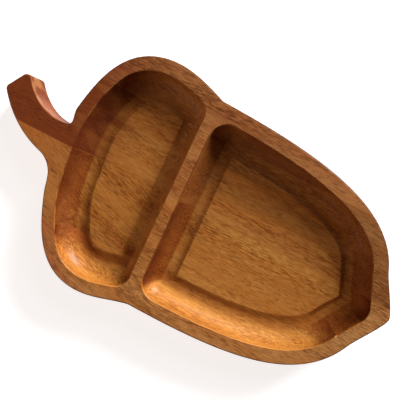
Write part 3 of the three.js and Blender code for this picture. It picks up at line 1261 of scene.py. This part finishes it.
        # Painted shade darkens the rounded outer edges.
        return bench.tinted(edges["Outer"], wood, self.painted_edge_shade)

    def material(self, patterns: BeechPatterns, top: float) -> bpy.types.Material:
        """Make the stave's material.

        Args:
            patterns: The shared beech patterns.
            top: Height of the top face in millimetres.

        Returns:
            The material.
        """
        material, bench = new_material(self.name)
        beech = self.feeds(bench, patterns, top)
        cut = beech.ends["Mask"]
        oiled = bench.times(bench.ramp(cut, self.coat), bench.ramp(beech.spot["Z"], self.coat_z))
        rough = bench.raised(bench.raised(self.sheen, beech.fleck, self.fleck_rough), cut, self.end_rough)
        streaked = bench.times(beech.streaks["Fine"], self.streak_relief)
        relief = bench.less(bench.less(streaked, beech.fleck), beech.pores)
        deep = self.bump_depth * MM
        bump = bench.add("Bump", {"Height": relief, "Strength": self.bump_strength, "Distance": deep})
        bench.dress(
            {
                "Base Color": self.colour(bench, beech),
                "Roughness": rough,
                "Normal": bump.outputs["Normal"],
                "Specular IOR Level": self.specular,
                "Coat Weight": oiled,
                "Coat Roughness": self.coat_rough,
            }
        )
        return material


@dataclass(frozen=True)
class GlueFinish:
    """Cured wood glue, seen as a thin line that oil has darkened."""

    name: str = "cured_glue"
    clear: Color = srgb(166, 103, 46)
    dark: Color = srgb(140, 80, 32)
    end: Color = (0.6, 0.42, 0.3, 1.0)
    rough: float = 0.45
    specular: float = 0.1

    def material(self, patterns: BeechPatterns) -> bpy.types.Material:
        """Make the material of the glue lines.

        Args:
            patterns: The shared beech patterns.

        Returns:
            The material.
        """
        material, bench = new_material(self.name)
        place, facing = bench.on_piece()
        broad = bench.group(patterns.streaks, {"Place": place})["Broad"]
        ends = bench.group(patterns.ends, {"Place": place, "Facing": facing})["Mask"]
        # The mask darkens the glue on cut grain and paints shade on it in the gutters.
        glue = bench.tinted(ends, bench.mix(broad, self.clear, self.dark), self.end)
        bench.dress({"Base Color": glue, "Roughness": self.rough, "Specular IOR Level": self.specular})
        return material


@dataclass(frozen=True)
class Strip:
    """One piece of the dish between two planes across the staves."""

    node: str
    piece: str
    slot: str

    def make(self, body: Body, material: bpy.types.Material) -> None:
        """Part the piece from the dish, dress it and set it in its node's place.

        Args:
            body: The whole dish.
            material: Finish of the piece.
        """
        low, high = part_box(self.node)
        part = body.copy()
        for plane_y, facing in ((low.y, -1.0), (high.y, 1.0)):
            cut = bmesh.ops.bisect_plane(
                part,
                geom=[*part.verts, *part.edges, *part.faces],
                dist=CUT_TOLERANCE,
                plane_co=(0.0, plane_y, 0.0),
                plane_no=(0.0, facing, 0.0),
                clear_outer=True,
            )
            seam = [item for item in cut["geom_cut"] if isinstance(item, bmesh.types.BMEdge)]
            seam = [edge for edge in seam if edge.is_boundary]
            if not seam:
                continue
            bmesh.ops.triangle_fill(part, use_beauty=True, edges=seam, normal=(0.0, facing, 0.0))
            for edge in seam:
                edge.smooth = False
        bmesh.ops.recalc_face_normals(part, faces=part.faces)
        mesh = bpy.data.meshes.new(self.piece)
        part.to_mesh(mesh)
        part.free()
        mesh.materials.append(material)
        piece = new_object(self.piece, mesh)
        shading = piece.modifiers.new("flat_faces_stay_flat", "WEIGHTED_NORMAL")
        shading.keep_sharp = True
        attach(piece, "root")
        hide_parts(self.node)
        LOG.info("%s: %d faces", self.piece, len(mesh.polygons))


@dataclass(frozen=True)
class Overhead:
    """Camera that looks straight down, as the photograph's did; lengths are in millimetres."""

    photo_px: float = 400.0
    mm_per_px: float = 0.677
    photo_turn: float = math.radians(27.1)
    origin_px: tuple[float, float] = (175.5, 203.0)
    foot_px: tuple[float, float] = (259.0, 180.0)
    height: float = 300.0
    sensor: float = 36.0
    nearest: float = 10.0

    def on_dish(self, px: float, py: float) -> Vector:
        """Find the place on the top face that shows at a pixel of the photograph.

        Args:
            px: Pixels from the left.
            py: Pixels from the top.

        Returns:
            The plan point in millimetres.
        """
        right = (px - self.origin_px[0]) * self.mm_per_px
        up = (self.origin_px[1] - py) * self.mm_per_px
        return Matrix.Rotation(self.photo_turn, 2) @ Vector((right, up))

    def place(self, top: float) -> None:
        """Make the scene's camera.

        Args:
            top: Height of the dish's top face in millimetres.
        """
        data = bpy.data.cameras.new("overhead")
        data.sensor_width = self.sensor
        data.lens = self.sensor * self.height / self.mm_per_px / self.photo_px
        data.shift_x = 0.5 - self.foot_px[0] / self.photo_px
        data.shift_y = self.foot_px[1] / self.photo_px - 0.5
        data.clip_start = self.nearest * MM
        camera = new_object("overhead", data)
        camera.location = Vector((*self.on_dish(*self.foot_px), top + self.height)) * MM
        camera.rotation_euler = (0.0, 0.0, self.photo_turn)
        bpy.context.scene.camera = camera


@dataclass(frozen=True)
class PaleTable:
    """Plain pale floor under the dish; lengths are in metres."""

    half_width: float = 9.0
    drop: float = 0.0002
    darker: Color = (0.6, 0.63, 0.66, 1.0)
    lighter: Color = (0.63, 0.66, 0.69, 1.0)
    clouds: Noise = Noise((3.0, 3.0, 3.0))
    rough: float = 0.8
    glow: float = 0.72

    def lay(self) -> None:
        """Lay the floor."""
        mesh = bpy.data.meshes.new("table")
        plane = bmesh.new()
        bmesh.ops.create_grid(plane, x_segments=1, y_segments=1, size=self.half_width)
        bmesh.ops.translate(plane, verts=plane.verts, vec=(0.0, 0.0, -self.drop))
        plane.to_mesh(mesh)
        plane.free()
        material, bench = new_material("pale_table")
        clouds = bench.noise(bench.add("TexCoord", {}).outputs["Object"], self.clouds)
        bench.dress(
            {
                "Base Color": bench.mix(clouds, self.darker, self.lighter),
                "Roughness": self.rough,
                "Emission Color": WHITE,
                "Emission Strength": self.glow,
            }
        )
        mesh.materials.append(material)
        new_object("table", mesh)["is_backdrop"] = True


@dataclass(frozen=True)
class Softbox:
    """A softbox that faces the dish, with angles in degrees, lengths in metres and power in watts."""

    name: str
    azimuth: float
    elevation: float
    size: tuple[float, float]
    power: float
    tint: Triple = (1.0, 1.0, 1.0)
    distance: float = 3.0

    def hang(self) -> None:
        """Hang the light. Its azimuth counts from +X towards +Y, its elevation from the table up."""
        data = bpy.data.lights.new(self.name, "AREA")
        data.shape = "RECTANGLE"
        data.size, data.size_y = self.size
        data.energy = self.power
        data.color = self.tint
        light = new_object(self.name, data)
        around, over = math.radians(self.azimuth), math.radians(self.elevation)
        way = Vector((math.cos(over) * math.cos(around), math.cos(over) * math.sin(around), math.sin(over)))
        light.location = way * self.distance
        light.rotation_euler = way.to_track_quat("Z", "Y").to_euler()


@dataclass(frozen=True)
class Room:
    """A dim warm room with a key light, a weak lift above it, a warm fill and a plain pale backdrop."""

    sky: Color = (1.0, 0.67, 0.6, 1.0)
    sky_strength: float = 0.11
    wall: Color = (0.9, 0.9, 0.9, 1.0)
    wall_strength: float = 0.9
    softboxes: tuple[Softbox, ...] = (
        Softbox(
            "key", azimuth=69.0, elevation=15.5, size=(1.25, 1.05), power=249.0, tint=(1.02, 1.03, 1.03)
        ),
        Softbox("lift", azimuth=71.0, elevation=36.0, size=(1.0, 0.8), power=10.0),
        Softbox("fill", azimuth=218.0, elevation=24.0, size=(2.0, 2.0), power=42.0, tint=(1.0, 0.78, 0.6)),
    )

    def light(self) -> None:
        """Light the scene; the camera sees the backdrop in place of the dim room."""
        world = bpy.data.worlds.new("pale_room")
        bpy.context.scene.world = world
        world.use_nodes = True
        bench = Bench(world.node_tree)
        sky = bench.add("Background", {"Color": self.sky, "Strength": self.sky_strength})
        wall = bench.add("Background", {"Color": self.wall, "Strength": self.wall_strength})
        seen = bench.add("LightPath", {}).outputs["Is Camera Ray"]
        room = bench.add("MixShader", {0: seen, 1: sky.outputs[0], 2: wall.outputs[0]})
        bench.add("OutputWorld", {"Surface": room.outputs[0]})
        for softbox in self.softboxes:
            softbox.hang()
        bpy.context.scene.view_settings.view_transform = "Standard"


# Each stave's tint for its steep long-grain walls is painted shade on the upper staves and painted light on
# the lower edge stave.
STAVES = {
    "upper_edge_stave": BeechFinish(
        name="beech_upper_edge",
        pale=srgb(176, 115, 56),
        deep=srgb(114, 60, 21),
        end=(0.95, 0.84, 0.74, 1.0),
        end_deep=(0.95, 0.9, 0.86, 1.0),
        stain=srgb(128, 64, 28),
        stained=Span(-30.0, -75.0),
        rim=(0.8, 0.8, 1.05, 1.0),
        rim_tip=(0.82, 0.79, 0.95, 1.0),
        wall_light_and_shade=(0.54, 0.44, 0.49, 1.0),
        pith=(0.0, 96.0, -58.0),
        bend=0.0002,
    ),
    "upper_middle_stave": BeechFinish(
        name="beech_upper_middle",
        pale=srgb(180, 119, 56),
        deep=srgb(120, 63, 21),
        end=(0.6, 0.47, 0.38, 1.0),
        end_deep=(0.85, 0.84, 0.8, 1.0),
        stain=srgb(122, 58, 19),
        stained=Span(-25.0, -75.0),
        rim=(0.82, 0.8, 1.05, 1.0),
        rim_tip=(0.6, 0.6, 0.8, 1.0),
        wall_light_and_shade=(0.58, 0.49, 0.52, 1.0),
        pith=(0.0, 92.0, -44.0),
        bend=0.0003,
        # Painted shadow on the upper part of the large pocket's floor, under its upper wall.
        band=ShadowAndToneBand(low=18.5, high=33.0, start=5.0, stop=100.0, tint=(0.78, 0.74, 0.7, 1.0)),
    ),
    "lower_middle_stave": BeechFinish(
        name="beech_lower_middle",
        pale=srgb(182, 120, 55),
        deep=srgb(121, 65, 20),
        end=(0.54, 0.35, 0.2, 1.0),
        stain=srgb(165, 92, 30),
        stained=Span(-60.0, -110.0),
        rim=(0.9, 0.88, 1.05, 1.0),
        rim_tip=(0.98, 1.2, 2.0, 1.0),
        wall_light_and_shade=(0.97, 0.98, 0.85, 1.0),
        pith=(0.0, -112.0, -48.0),
        bend=0.0014,
        # A paler band of wood along the large pocket's floor.
        band=ShadowAndToneBand(low=-11.5, high=-2.0, start=40.0, stop=150.0, tint=(1.13, 1.19, 1.19, 1.0)),
    ),
    "lower_edge_stave": BeechFinish(
        name="beech_lower_edge",
        pale=srgb(184, 120, 55),
        deep=srgb(122, 67, 21),
        end=(0.54, 0.35, 0.2, 1.0),
        stain=srgb(166, 90, 42),
        stained=Span(-20.0, -70.0),
        rim=(0.98, 1.06, 1.5, 1.0),
        rim_tip=(0.98, 1.1, 1.6, 1.0),
        wall_light_and_shade=(1.08, 1.1, 0.95, 1.0),
        sheer_wall_shade=(0.84, 0.82, 0.84, 1.0),
        pith=(0.0, -104.0, -62.0),
        bend=0.0016,
    ),
}
GLUE_LINES = ("upper_glue_line", "middle_glue_line", "lower_glue_line")


def main() -> None:
    """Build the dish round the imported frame, dress it, light it and set the camera."""
    logging.basicConfig(level=logging.INFO, format="%(message)s")
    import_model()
    cad_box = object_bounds()
    top = cad_box[1][2] / MM
    Overhead().place(top)
    PaleTable().lay()
    Room().light()
    patterns = BeechPatterns()
    body = RoutedDish(AcornPlan(), top).build()
    for node, finish in STAVES.items():
        Strip(node, f"oiled_{node}", finish.name).make(body, finish.material(patterns, top))
    glue = GlueFinish().material(patterns)
    for node in GLUE_LINES:
        Strip(node, f"cured_{node}", "wood_glue").make(body, glue)
    body.free()


if __name__ == "__main__":
    main()
